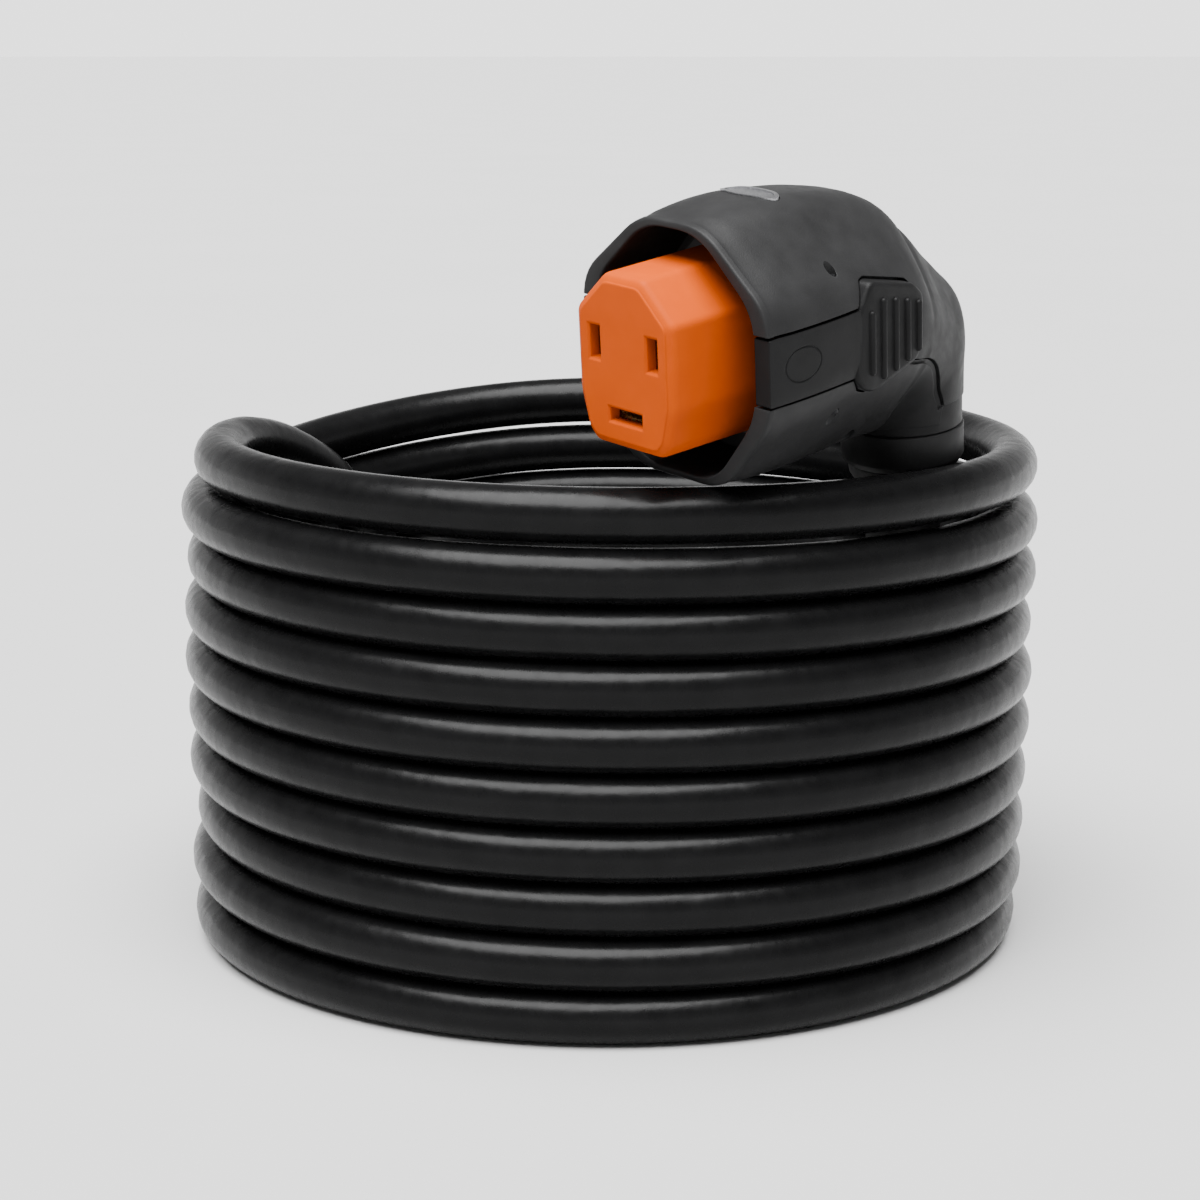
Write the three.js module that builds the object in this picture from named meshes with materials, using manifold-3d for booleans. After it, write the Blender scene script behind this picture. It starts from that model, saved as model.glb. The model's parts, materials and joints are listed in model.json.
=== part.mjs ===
// Thirty-amp shore power cord for a recreational vehicle, wound into an upright coil.
// Units are millimetres, +Z is up. The angled vehicle-side connector lies on the coil's top
// turn and the pedestal-end plug lies on the floor inside the coil.
import * as THREE from 'three';
import { mergeVertices } from 'three/addons/utils/BufferGeometryUtils.js';
import Module from 'manifold-3d';

const wasm = await Module();
wasm.setup();

// ---------------------------------------------------------------- driving dimensions
const GAP = 0.3;                 // clearance between touching pieces
const CORD_D = 17;               // outside diameter of the three-core 10 AWG cord
const CORD_R = CORD_D / 2;
const COIL_R = 134.7;            // coil radius at the cord's centre line
const COIL_TURNS = 10;
const COIL_H = COIL_TURNS * CORD_D;

// Where the connector lies: the middle of its orange face, and its three turns in degrees.
const CONNECTOR_AT = [3.4, -142.9, 206.9];
const CONNECTOR_YAW = 48.4;
const CONNECTOR_PITCH = 8.7;
const CONNECTOR_ROLL = 5.9;

// Connector sizes. Its own frame: +X to its right, +Y to the rear, +Z up, face at y = 0.
const HOOD_Y = 20;               // the hood's rim, behind the face
const HOOD_W = 38.8;             // half width of the hood
const WALL = 3.4;
const RIM_WALL = 2.2;            // the hood's wall above and below
const SIDE_WALL = 6.2;
const BULKHEAD = [48, 56];       // wall that holds the contact carrier
const NECK_Y = 118;              // axis of the neck that the cord enters
const ELBOW = [92, -50];         // point that the elbow's sections fan round
const NECK_TOP = -35.4;
const COLLAR = { top: -45.1, bottom: -57.2, r: 19.5 };
const BOOT_END = -96;
const CORD_STRIPPED_AT = -14;    // the jacket ends here, inside the body
const SLOT_TOP = 10.9;           // lever slot between the shells
const SLOT_BOTTOM = -10.5;
const PIN = { x: 30.5, y: 54, r: 1.5, reach: 20.8 };
const FLANGE = [48.8, 51.8];      // the contact carrier's flange, held in the bulkhead
const FLANGE_MARGIN = 4.2;

// Plug sizes, along its own axis from the cord end.
const PLUG = { length: 90, faceR: 25, tilt: 9.6, at: [-39, -50, 11.8] };

// ---------------------------------------------------------------- materials
function finish(color, roughness, metalness = 0) {
  return new THREE.MeshStandardMaterial({ color, roughness, metalness });
}
const SHELL_BLACK = 0x262627;
const CORD_BLACK = 0x1b1b1c;
const LEVER_BLACK = 0x222223;
const RUBBER_BLACK = 0x1a1a1a;
const ORANGE = 0xf07a12;
const BRASS = 0xc9a24a;
const STEEL = 0xb8bcc0;
const SILVER = 0xc8cacc;

// ---------------------------------------------------------------- solids
// Negative when a closed mesh's faces point inwards.
function signedVolume(positions, triangles) {
  const corner = (i) => new THREE.Vector3().fromArray(positions, 3 * triangles[i]);
  let sum = 0;
  for (let i = 0; i < triangles.length; i += 3) {
    sum += corner(i).dot(corner(i + 1).cross(corner(i + 2)));
  }
  return sum / 6;
}

function toSolid(geometry) {
  const bare = geometry.index ? geometry.toNonIndexed() : geometry.clone();
  bare.deleteAttribute('normal');
  bare.deleteAttribute('uv');
  const merged = mergeVertices(bare, 1e-4);
  const vertProperties = new Float32Array(merged.attributes.position.array);
  const triVerts = new Uint32Array(merged.index.array);
  if (signedVolume(vertProperties, triVerts) < 0) {
    for (let i = 0; i < triVerts.length; i += 3) {
      [triVerts[i], triVerts[i + 1]] = [triVerts[i + 1], triVerts[i]];
    }
  }
  return new wasm.Manifold(new wasm.Mesh({ numProp: 3, vertProperties, triVerts }));
}

function toGeometry(solid) {
  const mesh = solid.getMesh();
  const geometry = new THREE.BufferGeometry();
  geometry.setAttribute('position', new THREE.BufferAttribute(new Float32Array(mesh.vertProperties), 3));
  geometry.setIndex(new THREE.BufferAttribute(new Uint32Array(mesh.triVerts), 1));
  geometry.computeVertexNormals();
  return geometry;
}

function cut(base, ...tools) {
  return tools.reduce((left, tool) => left.subtract(tool), base);
}

function join(base, ...others) {
  return others.reduce((sum, other) => sum.add(other), base);
}

// A box from its low corner to its high corner.
function block(low, high) {
  const size = high.map((value, i) => value - low[i]);
  const centre = high.map((value, i) => (value + low[i]) / 2);
  return toSolid(new THREE.BoxGeometry(...size).translate(...centre));
}

// A body of revolution round a line along Z through (x, y); the profile is [radius, z] points.
function turned(profile, x = 0, y = 0, segments = 32) {
  const points = profile.map(([r, z]) => new THREE.Vector2(r, z));
  return toSolid(new THREE.LatheGeometry(points, segments).rotateX(Math.PI / 2).translate(x, y, 0));
}

function ring(inner, outer, low, high, x = 0, y = 0, segments = 32) {
  return turned([[inner, low], [outer, low], [outer, high], [inner, high], [inner, low]], x, y, segments);
}

function rod(r, low, high, x = 0, y = 0, segments = 16) {
  return turned([[0, low], [r, low], [r, high], [0, high]], x, y, segments);
}

// A flat outline given as [x, z] points, extruded along +Y from one depth to another.
function slabXZ(outline, from, to) {
  const shape = new THREE.Shape(outline.map(([x, z]) => new THREE.Vector2(x, z)));
  const geometry = new THREE.ExtrudeGeometry(shape, { depth: to - from, bevelEnabled: false });
  return toSolid(geometry.rotateX(Math.PI / 2).translate(0, to, 0));
}

// A flat outline given as [y, z] points, extruded along +X from one depth to another.
function slabYZ(outline, from, to) {
  const shape = new THREE.Shape(outline.map(([y, z]) => new THREE.Vector2(y, z)));
  const geometry = new THREE.ExtrudeGeometry(shape, { depth: to - from, bevelEnabled: false });
  geometry.applyMatrix4(new THREE.Matrix4().set(0, 0, 1, from, 1, 0, 0, 0, 0, 1, 0, 0, 0, 0, 0, 1));
  return toSolid(geometry);
}

function mirrored(solid) {
  return solid.mirror([1, 0, 0]);
}

// A skin over a row of closed sections, each with the same number of points, with flat ends.
function loft(sections) {
  const count = sections[0].length;
  const positions = [];
  const index = [];
  sections.forEach((section) => section.forEach((p) => positions.push(...p)));
  for (let i = 0; i + 1 < sections.length; i += 1) {
    for (let j = 0; j < count; j += 1) {
      const a = i * count + j;
      const b = i * count + ((j + 1) % count);
      index.push(a, b, b + count, a, b + count, a + count);
    }
  }
  const last = (sections.length - 1) * count;
  for (let j = 1; j + 1 < count; j += 1) {
    index.push(0, j + 1, j);
    index.push(last, last + j, last + j + 1);
  }
  const geometry = new THREE.BufferGeometry();
  geometry.setAttribute('position', new THREE.Float32BufferAttribute(positions, 3));
  geometry.setIndex(index);
  return toSolid(geometry);
}

// ---------------------------------------------------------------- connector body
// One section: an octagon with rounded corners that turns into an oval as round goes to 1.
// low and high are its lower and upper edge, half its half width, shoulder the height of its
// widest part as a share of the half height. taper narrows its lower part to the neck's width.
const CORNER_BLEND = [0, 0.5, 1];
const CORNER_REACH = 8;
const SHOULDER = 0.28;
const NECK_HALF = 19.4;

function sectionOutline({ half, low, high, round = 0, shoulder = SHOULDER, taper = 0, neck = NECK_HALF }) {
  const middle = (low + high) / 2;
  const reach = (high - low) / 2;
  const above = middle + shoulder * reach;
  const below = middle - 0.85 * shoulder * reach;
  const corners = [
    [0.34 * half, high], [half, above], [half, below], [0.47 * half, low],
    [-0.47 * half, low], [-half, below], [-half, above], [-0.34 * half, high],
  ];
  const points = [];
  corners.forEach((corner, i) => {
    const before = corners[(i + 7) % 8];
    const after = corners[(i + 1) % 8];
    const ends = [before, after].map((other) => {
      const length = Math.hypot(other[0] - corner[0], other[1] - corner[1]);
      const share = Math.min(CORNER_REACH, 0.4 * length) / length;
      return [corner[0] + (other[0] - corner[0]) * share, corner[1] + (other[1] - corner[1]) * share];
    });
    CORNER_BLEND.forEach((t) => {
      points.push([0, 1].map((k) => (
        (1 - t) ** 2 * ends[0][k] + 2 * t * (1 - t) * corner[k] + t ** 2 * ends[1][k]
      )));
    });
  });
  return points.map(([x, s]) => {
    const angle = Math.atan2((s - middle) / reach, x / half);
    const oval = [half * Math.cos(angle), middle + reach * Math.sin(angle)];
    const height = s + (oval[1] - s) * round;
    const lowness = 1 - THREE.MathUtils.smootherstep(height, low, low + 1.1 * reach);
    const narrow = 1 - taper * (1 - Math.min(1, neck / half)) * lowness;
    return [(x + (oval[0] - x) * round) * narrow, height];
  });
}

const RIM_SHOULDER = 0.45;

// Upright sections stand at y; elbow sections fan round ELBOW, tilt degrees from upright.
const BODY_STATIONS = [
  { y: HOOD_Y, half: HOOD_W, low: -38.5, high: 38.5, shoulder: RIM_SHOULDER },
  { y: 30, half: HOOD_W + 0.2, low: -39.4, high: 40.2, shoulder: 0.43 },
  { y: 44, half: 38.6, low: -39.8, high: 41.3, shoulder: 0.39 },
  { y: 60, half: 37.4, low: -39.6, high: 40.3, shoulder: 0.33 },
  { y: 76, half: 35.4, low: -39.4, high: 38, round: 0.1 },
  { tilt: 0, half: 32.6, low: 8.6, high: 83.4, round: 0.25, taper: 0.2 },
  { tilt: 12, half: 29.8, low: 8, high: 75, round: 0.35, taper: 0.6 },
  { tilt: 18, half: 28.3, low: 7.8, high: 67.8, round: 0.4, taper: 0.85 },
  { tilt: 20, half: 27.9, low: 7.7, high: 68.6, round: 0.4, taper: 0.9 },
  { tilt: 31, half: 25.5, low: 7.4, high: 64.6, round: 0.5, taper: 1 },
  { tilt: 43, half: 23.4, low: 7.1, high: 62.6, round: 0.65, taper: 1 },
  { tilt: 55, half: 21.7, low: 7, high: 53.4, round: 0.85, taper: 1 },
  { tilt: 68, half: 20.4, low: 6.8, high: 48, round: 1 },
  { tilt: 90, half: NECK_HALF, low: 6.6, high: 44.8, round: 1 },
];

function placeSection(station) {
  const outline = sectionOutline(station);
  if (station.tilt === undefined) return outline.map(([x, s]) => [x, station.y, s]);
  const tilt = THREE.MathUtils.degToRad(station.tilt);
  return outline.map(([x, s]) => [
    x, ELBOW[0] + s * Math.sin(tilt), ELBOW[1] + s * Math.cos(tilt),
  ]);
}

function bodyLoft(grow = 0) {
  return loft(BODY_STATIONS.map((station) => placeSection({
    ...station, half: station.half + grow, low: station.low - grow, high: station.high + grow,
    neck: NECK_HALF + grow,
  })));
}

function hoodCavity() {
  const inner = (y, trim) => placeSection({
    y, half: HOOD_W - SIDE_WALL - trim, low: -38.5 + RIM_WALL + trim, high: 38.5 - RIM_WALL - trim,
    shoulder: RIM_SHOULDER,
  });
  return loft([inner(HOOD_Y - 1, 0), inner(BULKHEAD[0], 0.8)]);
}

const ROOM_HALF = 22.5;          // half width of the room behind the bulkhead

function rearCavity() {
  const inner = BODY_STATIONS.filter((s) => (s.y === undefined ? s.tilt <= 55 : s.y > BULKHEAD[1]));
  const front = { y: BULKHEAD[1], half: 38, low: -39.7, high: 40.5, shoulder: 0.33 };
  return loft([front, ...inner].map((station) => placeSection({
    ...station,
    half: Math.min(ROOM_HALF, station.half - WALL),
    low: station.low + WALL,
    high: station.high - WALL,
    neck: NECK_HALF - WALL,
  })));
}

// ---------------------------------------------------------------- contact carrier
// Right half of the house-shaped orange face: x, z, and how far each follows a margin.
const CARRIER_HALF = [
  [7.9, 26.4, 0.4, 1], [20.1, 14.8, 1, 0.4], [20.1, -10, 1, -0.2], [17, -21.5, 0.8, -0.6],
  [13.5, -25.2, 0.4, -1],
];

function carrierOutline(grow = 0) {
  const right = CARRIER_HALF.map(([x, z, alongX, alongZ]) => [x + grow * alongX, z + grow * alongZ]);
  return [...right, ...right.map(([x, z]) => [-x, z]).reverse()];
}

// Each contact slot: middle x and z, half width and half height at the face.
const SLOTS = {
  line: { x: -12, z: 5.4, w: 1.5, h: 4.5 },
  neutral: { x: 12, z: 5.4, w: 1.5, h: 4.5 },
  ground: { x: 0, z: -15.3, w: 5.8, h: 1.5 },
};
const CONTACT_ROOM = 1.7;        // the pocket behind a slot is this much larger on each side

function contactCarrier() {
  const section = (grow, y) => carrierOutline(grow).map(([x, z]) => [x, y, z]);
  const order = [section(-3, 0), section(-0.9, 0.9), section(0, 3), section(0.4, 58)];
  let carrier = loft(order);
  carrier = join(carrier, slabXZ(carrierOutline(FLANGE_MARGIN), ...FLANGE));
  Object.values(SLOTS).forEach(({ x, z, w, h }) => {
    const wide = w + CONTACT_ROOM;
    const tall = h + CONTACT_ROOM;
    carrier = cut(
      carrier,
      block([x - w, -1, z - h], [x + w, 5, z + h]),
      block([x - wide, 4, z - tall], [x + wide, 60, z + tall]),
    );
  });
  return carrier;
}

const TERMINAL_SCREW_Y = 62.6;

// A folded brass receptacle open towards the slot, with a terminal block behind it.
function contact({ x, z, w, h }) {
  const room = CONTACT_ROOM - 0.35;
  const outer = [[x - w - room, z - h - room], [x + w + room, z + h + room]];
  const sleeve = block([outer[0][0], 5, outer[0][1]], [outer[1][0], 50, outer[1][1]]);
  const mouth = block([x - w, 4, z - h], [x + w, 34, z + h]);
  const terminal = block([x - 4.4, 58.4, z - 4.4], [x + 4.4, 67, z + 4.4]);
  const tongue = block([x - 2, 49, z - 2], [x + 2, 59, z + 2]);
  const wireHole = rod(3, 60, 68, 0, 0, 12).rotate([-90, 0, 0]).translate([x, 0, z]);
  const screwHole = rod(1.7, z + 1, z + 6, x, TERMINAL_SCREW_Y, 12);
  return cut(join(sleeve, tongue, terminal), mouth, wireHole, screwHole);
}

// ---------------------------------------------------------------- levers
const PAD_OUTLINE = [
  [HOOD_Y, -10.1], [57, -10.1], [60.8, -14.4], [65, -16], [68, -15.8], [86.6, -11.3], [89.2, -7.4],
  [89.9, 8.2], [85.6, 12.4], [66, 17.4], [63.8, 17], [59.4, 10.3], [HOOD_Y, 10.3],
];
const POCKET_OUTLINE = [
  [HOOD_Y - 2, SLOT_BOTTOM], [56.8, SLOT_BOTTOM], [60.3, -14.9], [64.8, -16.7], [68.2, -16.5], [87, -11.9],
  [89.9, -7.7], [90.7, 8.5], [86, 13.1], [66.2, 18.1], [63.3, 17.6], [59.1, SLOT_TOP], [HOOD_Y - 2, SLOT_TOP],
];
const LEVER_INNER = HOOD_W - SIDE_WALL + 0.3;
const PAD_INNER = 30.7;
const POCKET_FLOOR = 26.3;
const PAD_FACE = { x: 37.5, y: 59, turn: 4.9 };
const RIB_HALF = 1.1;
const RIB_PROUD = 1;
const RIBS = [
  [64.6, 8.9, -10.7], [69.9, 11.6, -13], [75.7, 10.5, -12], [81.3, 9, -10.3], [86.8, 7.3, -8.6],
];

// Everything inwards of the pads' flat outer face, moved out by grow.
function behindPadFace(grow = 0) {
  const room = block([-60, -60, -40], [grow, 60, 40]);
  return room.rotate([0, 0, PAD_FACE.turn]).translate([PAD_FACE.x, PAD_FACE.y, 0]);
}

function leverRight(body) {
  const armRoom = body.intersect(block([0, 0, -40], [60, 61, 40]));
  const arm = slabYZ(PAD_OUTLINE, LEVER_INNER, 60).intersect(armRoom);
  const pad = slabYZ(PAD_OUTLINE, PAD_INNER, 60).intersect(block([0, 59, -40], [60, 120, 40]));
  const ribs = RIBS.map(([y, top, bottom]) => (
    block([PAD_INNER + 1, y - RIB_HALF, bottom], [60, y + RIB_HALF, top]).intersect(behindPadFace(RIB_PROUD))
  ));
  const lever = join(arm, pad.intersect(behindPadFace()), ...ribs);
  const eye = block([26.9, 50, -5.4], [LEVER_INNER + 1, 58, 9.6]);
  const hook = block([30.2, 25, -5], [LEVER_INNER + 1, 30, 5]);
  const springRoom = rod(3.7, SLOT_BOTTOM, -5.4, PIN.x, PIN.y, 16);
  return cut(join(lever, eye, hook), rod(2, -20, 20, PIN.x, PIN.y, 16), springRoom);
}

// ---------------------------------------------------------------- shells
// The parting line seen from the side: everything below and ahead of it is the lower shell.
const PARTING = [
  [10, 0], [88.4, 0], [88.4, -12.4], [91.5, -13.4], [97, -14.6], [101, -16.4], [104.8, -19.6],
  [108.2, -24.2], [111, -29.4], [112.8, -33], [113.6, NECK_TOP],
];
const SCREWS = [[-18.2, 72], [18.2, 72], [-13.6, 93.5], [13.6, 93.5]];
const SCREW_HEAD = -28;          // floor of each screw's counterbore
const SHELL_FLOOR = -44.6;
const CLAMP_ROOM = { r: 14.4, low: -28, high: -8 };

function shells(body) {
  const right = [
    slabYZ(POCKET_OUTLINE, 31.6, 60).intersect(block([0, 0, -40], [60, 47.2, 40])),
    slabYZ(POCKET_OUTLINE, POCKET_FLOOR, 60).intersect(block([0, 46.9, -40], [60, 120, 40])),
    rod(PIN.r + GAP, -60, 60, PIN.x, PIN.y),
  ];
  const bore = rod(11, -60, -18, 0, NECK_Y, 32);
  const clampRoom = rod(CLAMP_ROOM.r, CLAMP_ROOM.low, CLAMP_ROOM.high, 0, NECK_Y, 24);
  const flange = slabXZ(carrierOutline(FLANGE_MARGIN + 0.5), FLANGE[0] - 0.4, FLANGE[1] + 0.4);
  const hole = slabXZ(carrierOutline(0.9), 40, 60);
  let whole = cut(body, hoodCavity(), rearCavity(), bore, clampRoom, flange, hole);
  whole = cut(whole, ...right, ...right.map(mirrored));
  SCREWS.forEach(([x, y]) => {
    const post = rod(3.8, -45, 45, x, y).intersect(body);
    const shank = rod(1.8, -60, 14, x, y, 12);
    whole = cut(join(whole, post), shank, rod(3.3, -60, SCREW_HEAD, x, y, 12));
  });
  const overlap = NECK_TOP - 0.5;
  const below = [...PARTING, [113.6, overlap], [95.8, overlap], [95.8, SHELL_FLOOR], [10, SHELL_FLOOR]];
  const raised = PARTING.map(([y, z]) => [y + GAP, z + GAP]);
  const above = [...raised, [200, NECK_TOP + GAP], [200, -90], [5, -90], [5, GAP]];
  const sleeve = turned([
    [0, -55], [15.2, -55], [15.2, -44.8], [18.4, -44.8], [18.4, NECK_TOP - 0.2], [0, NECK_TOP - 0.2],
  ], 0, NECK_Y);
  return {
    lower: join(whole.intersect(slabYZ(below, -60, 60)), cut(sleeve, bore)),
    upper: cut(whole, slabYZ(above, -60, 60)),
  };
}

function outlineRing(inner, outer, from, to) {
  return cut(slabXZ(carrierOutline(outer), from, to), slabXZ(carrierOutline(inner), from - 1, to + 1));
}

// ---------------------------------------------------------------- cords and wires
function circle(r, sides) {
  const shape = new THREE.Shape();
  for (let i = 0; i < sides; i += 1) {
    const angle = (2 * Math.PI * (i + 0.5)) / sides;
    shape[i ? 'lineTo' : 'moveTo'](r * Math.cos(angle), r * Math.sin(angle));
  }
  return shape;
}

function tube(points, r, steps, sides = 8) {
  const path = new THREE.CatmullRomCurve3(points.map((p) => new THREE.Vector3(...p)));
  return new THREE.ExtrudeGeometry(circle(r, sides), { steps, bevelEnabled: false, extrudePath: path });
}

// ---------------------------------------------------------------- the object
const object = new THREE.Group();
const connector = new THREE.Group();
connector.position.set(...CONNECTOR_AT);
connector.rotation.set(
  THREE.MathUtils.degToRad(CONNECTOR_PITCH),
  THREE.MathUtils.degToRad(CONNECTOR_ROLL),
  THREE.MathUtils.degToRad(-CONNECTOR_YAW),
  'ZXY',
);
connector.updateMatrixWorld(true);
object.add(connector);

function add(parent, name, shape, material) {
  const geometry = shape.isBufferGeometry ? shape : toGeometry(shape);
  const mesh = new THREE.Mesh(geometry, material);
  mesh.name = name;
  parent.add(mesh);
  return mesh;
}

// Connector: shells and badge.
const body = bodyLoft();
const { upper, lower } = shells(body);
const BADGE = { y: 52.5, halfX: 12, halfY: 5.6 };

function badgePrism(grow) {
  const oval = new THREE.CylinderGeometry(1, 1, 60, 32).rotateX(Math.PI / 2);
  return toSolid(oval.scale(BADGE.halfX + grow, BADGE.halfY + grow, 1).translate(0, BADGE.y, 50));
}
const badge = cut(badgePrism(0).intersect(bodyLoft(0.5)), bodyLoft(-0.6));
add(connector, 'upper_shell', cut(upper, cut(badgePrism(GAP), bodyLoft(-0.9))), finish(SHELL_BLACK, 0.5));
add(connector, 'lower_shell', lower, finish(SHELL_BLACK, 0.5));
add(connector, 'badge', badge, finish(SILVER, 0.3, 1));
SCREWS.forEach(([x, y], i) => {
  const profile = [
    [0, SCREW_HEAD - 3.4], [3, SCREW_HEAD - 3.4], [3, SCREW_HEAD - 0.4], [1.5, SCREW_HEAD - 0.4],
    [1.5, 12], [0, 12],
  ];
  add(connector, `shell_screw_${i + 1}`, turned(profile, x, y, 12), finish(STEEL, 0.35, 1));
});

// Connector: levers, their pins and springs.
const lever = leverRight(body);
const pin = rod(PIN.r, -PIN.reach, PIN.reach, PIN.x, PIN.y, 12);
const spring = ring(2.1, 3.3, SLOT_BOTTOM + 0.4, -5.8, PIN.x, PIN.y, 16);
const bothSides = [['right', (solid) => solid], ['left', mirrored]];
bothSides.forEach(([side, place]) => {
  add(connector, `lever_${side}`, place(lever), finish(LEVER_BLACK, 0.45));
  add(connector, `lever_pin_${side}`, place(pin), finish(STEEL, 0.35, 1));
  add(connector, `lever_spring_${side}`, place(spring), finish(STEEL, 0.4, 1));
});

// Connector: contact carrier, its seal, contacts and terminals.
add(connector, 'contact_carrier', contactCarrier(), finish(ORANGE, 0.42));
add(connector, 'face_seal', outlineRing(0.8, 4.5, 43.4, 47.7), finish(RUBBER_BLACK, 0.8));
Object.entries(SLOTS).forEach(([name, slot]) => {
  add(connector, `contact_${name}`, contact(slot), finish(BRASS, 0.35, 1));
  const screw = rod(1.4, slot.z + 2.7, slot.z + 6.2, slot.x, TERMINAL_SCREW_Y, 12);
  add(connector, `terminal_screw_${name}`, screw, finish(STEEL, 0.35, 1));
});

// Connector: conductors, cord clamp, seal, collar and strain relief round the cord.
const CONDUCTORS = {
  black: {
    color: 0x141414,
    points: [[-4, 117, -13.4], [-5, 113, 1], [-5, 97, 8], [-8.6, 84, 8], [-11.6, 71, 6], [-12, 61.5, 5.4]],
  },
  white: {
    color: 0xe8e6e0,
    points: [[4, 117, -13.4], [5, 113, 1], [5, 97, 8], [8.6, 84, 8], [11.6, 71, 6], [12, 61.5, 5.4]],
  },
  green: {
    color: 0x1f7a3a,
    points: [[0, 112.5, -12.6], [0, 110.4, -6], [0, 98, -8], [0, 82, -14], [0, 61.5, -15.3]],
  },
};
Object.entries(CONDUCTORS).forEach(([name, { color, points }]) => {
  add(connector, `conductor_${name}`, tube(points, 2.2, 12), finish(color, 0.5));
});
const CLAMP_SCREW = { x: 11.2, z: -22.5, half: 6.6 };
const clampScrew = (x, r) => rod(r, -CLAMP_SCREW.half, CLAMP_SCREW.half, 0, 0, 10)
  .rotate([90, 0, 0]).translate([x, NECK_Y, CLAMP_SCREW.z]);
const clampSides = { left: -CLAMP_SCREW.x, right: CLAMP_SCREW.x };
const clampHoles = Object.values(clampSides).map((x) => clampScrew(x, 1.5));
add(connector, 'cord_clamp', cut(ring(8.8, 14, -26, -19, 0, NECK_Y), ...clampHoles), finish(0x2c2c2d, 0.6));
Object.entries(clampSides).forEach(([side, x]) => {
  add(connector, `clamp_screw_${side}`, clampScrew(x, 1.2), finish(STEEL, 0.35, 1));
});
add(connector, 'gland_seal', ring(8.8, 10.7, -52, -30, 0, NECK_Y), finish(RUBBER_BLACK, 0.85));
add(connector, 'neck_collar', turned([
  [15.5, COLLAR.top], [COLLAR.r, COLLAR.top], [COLLAR.r, -55.6], [18.4, COLLAR.bottom], [12.4, COLLAR.bottom],
  [12.4, -55.4], [15.5, -55.4], [15.5, COLLAR.top],
], 0, NECK_Y), finish(SHELL_BLACK, 0.5));
add(connector, 'strain_relief', turned([
  [8.8, -57.5], [17.4, -57.5], [16.6, -61.5], [14, -65.5], [12.6, -74], [11.4, -86], [10.4, BOOT_END],
  [8.8, BOOT_END], [8.8, -57.5],
], 0, NECK_Y), finish(RUBBER_BLACK, 0.75));
add(connector, 'cord_end', rod(CORD_R, BOOT_END, CORD_STRIPPED_AT, 0, NECK_Y, 16), finish(CORD_BLACK, 0.45));

// The coil: one closed ring of the ten turns' outer shape, standing on the floor.
const inner = COIL_R - CORD_R;
const outer = COIL_R + CORD_R;
const crown = [[-1, 0], [-0.707, 0.707], [0, 1], [0.707, 0.707], [1, 0]];
const coilTop = crown.map(([x, z]) => [COIL_R + CORD_R * x, COIL_H - CORD_R + CORD_R * z]).reverse();
const coilProfile = [[inner + 2, 0], [outer - 2, 0], [outer, 3], ...coilTop, [inner, 3], [inner + 2, 0]];
add(object, 'cord_coil', turned(coilProfile, 0, 0, 72), finish(CORD_BLACK, 0.45));

// The cord inside the coil. It drops from the strain relief to the floor, follows the wall
// and climbs at the back left until it joins the top turn.
const RUN = [
  [94.9, -48.4, 130.0], [95.6, -45.4, 113.4], [96.4, -41.8, 94], [96.8, -36.4, 74], [96.4, -27.4, 54],
  [94.6, -13.4, 34.8], [90.8, 7.4, 18.9], [83.6, 33, 10.2], [71, 60.4, 8.8], [50.4, 83.6, 9.6],
  [24.4, 98.6, 14.4], [-4, 105.6, 25.6], [-31.6, 104.7, 44.3], [-56, 96.4, 69], [-77.5, 82, 98],
  [-89.7, 68.8, 126.5], [-101.3, 54.7, 145.3],
];
add(object, 'cord_run', tube(RUN, CORD_R, 22, 12), finish(CORD_BLACK, 0.45));

// The other end leaves the bottom turn at the back left and curls in to the plug.
const TAIL = [
  [-100.3, 58.5, 8.7], [-107, 44.7, 8.8], [-110.8, 23.3, 8.7], [-108.5, 3.5, 8.7], [-101.2, -14.2, 8.7],
  [-90.3, -28.5, 8.8], [-76.4, -39.5, 9], [-60.6, -46.8, 9.4], [-46.2, -49.7, 10.6], [-40.2, -50, 11.6],
];
add(object, 'cord_tail', tube(TAIL, CORD_R, 8, 12), finish(CORD_BLACK, 0.45));

// The pedestal plug, lying on the floor inside the coil.
const plug = new THREE.Group();
plug.position.set(...PLUG.at);
plug.rotation.y = THREE.MathUtils.degToRad(90 - PLUG.tilt);
object.add(plug);
add(plug, 'plug_strain_relief', turned([
  [0, 0], [9.8, 0], [10.8, 10], [12.4, 24], [13.6, 30], [13.6, 33.7], [0, 33.7],
], 0, 0, 24), finish(RUBBER_BLACK, 0.75));
const faceDepth = PLUG.length - 5;
add(plug, 'plug_body', turned([
  [0, 34], [15, 34], [16.5, 40], [19.5, 52], [22.4, 66], [24.4, 75], [PLUG.faceR, 79],
  [PLUG.faceR, PLUG.length],
  [22.6, PLUG.length], [22.6, faceDepth], [0, faceDepth],
], 0, 0, 32), finish(SHELL_BLACK, 0.5));
const BLADE = { r: 10.2, half: [0.8, 4], high: PLUG.length + 18, angles: { line: 45, neutral: -45 } };
function blade(angle, grow, low) {
  const [thick, wide] = BLADE.half.map((half) => half + grow);
  const turn = THREE.MathUtils.degToRad(angle);
  const at = [-2.5, Math.sign(angle) * BLADE.r];
  const geometry = new THREE.BoxGeometry(2 * thick, 2 * wide, BLADE.high - low);
  return toSolid(geometry.rotateZ(turn).translate(...at, (BLADE.high + low) / 2));
}
const EARTH = { x: 9.4, r: 2.4 };
const faceLow = faceDepth + GAP;
const blades = Object.entries(BLADE.angles);
const plugFace = cut(
  rod(22.3, faceLow, PLUG.length - 0.4, 0, 0, 32),
  ...blades.map(([, angle]) => blade(angle, GAP, 70)),
  rod(EARTH.r + GAP, 70, 120, EARTH.x, 0, 12),
);
add(plug, 'plug_face', plugFace, finish(0x303031, 0.55));
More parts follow.
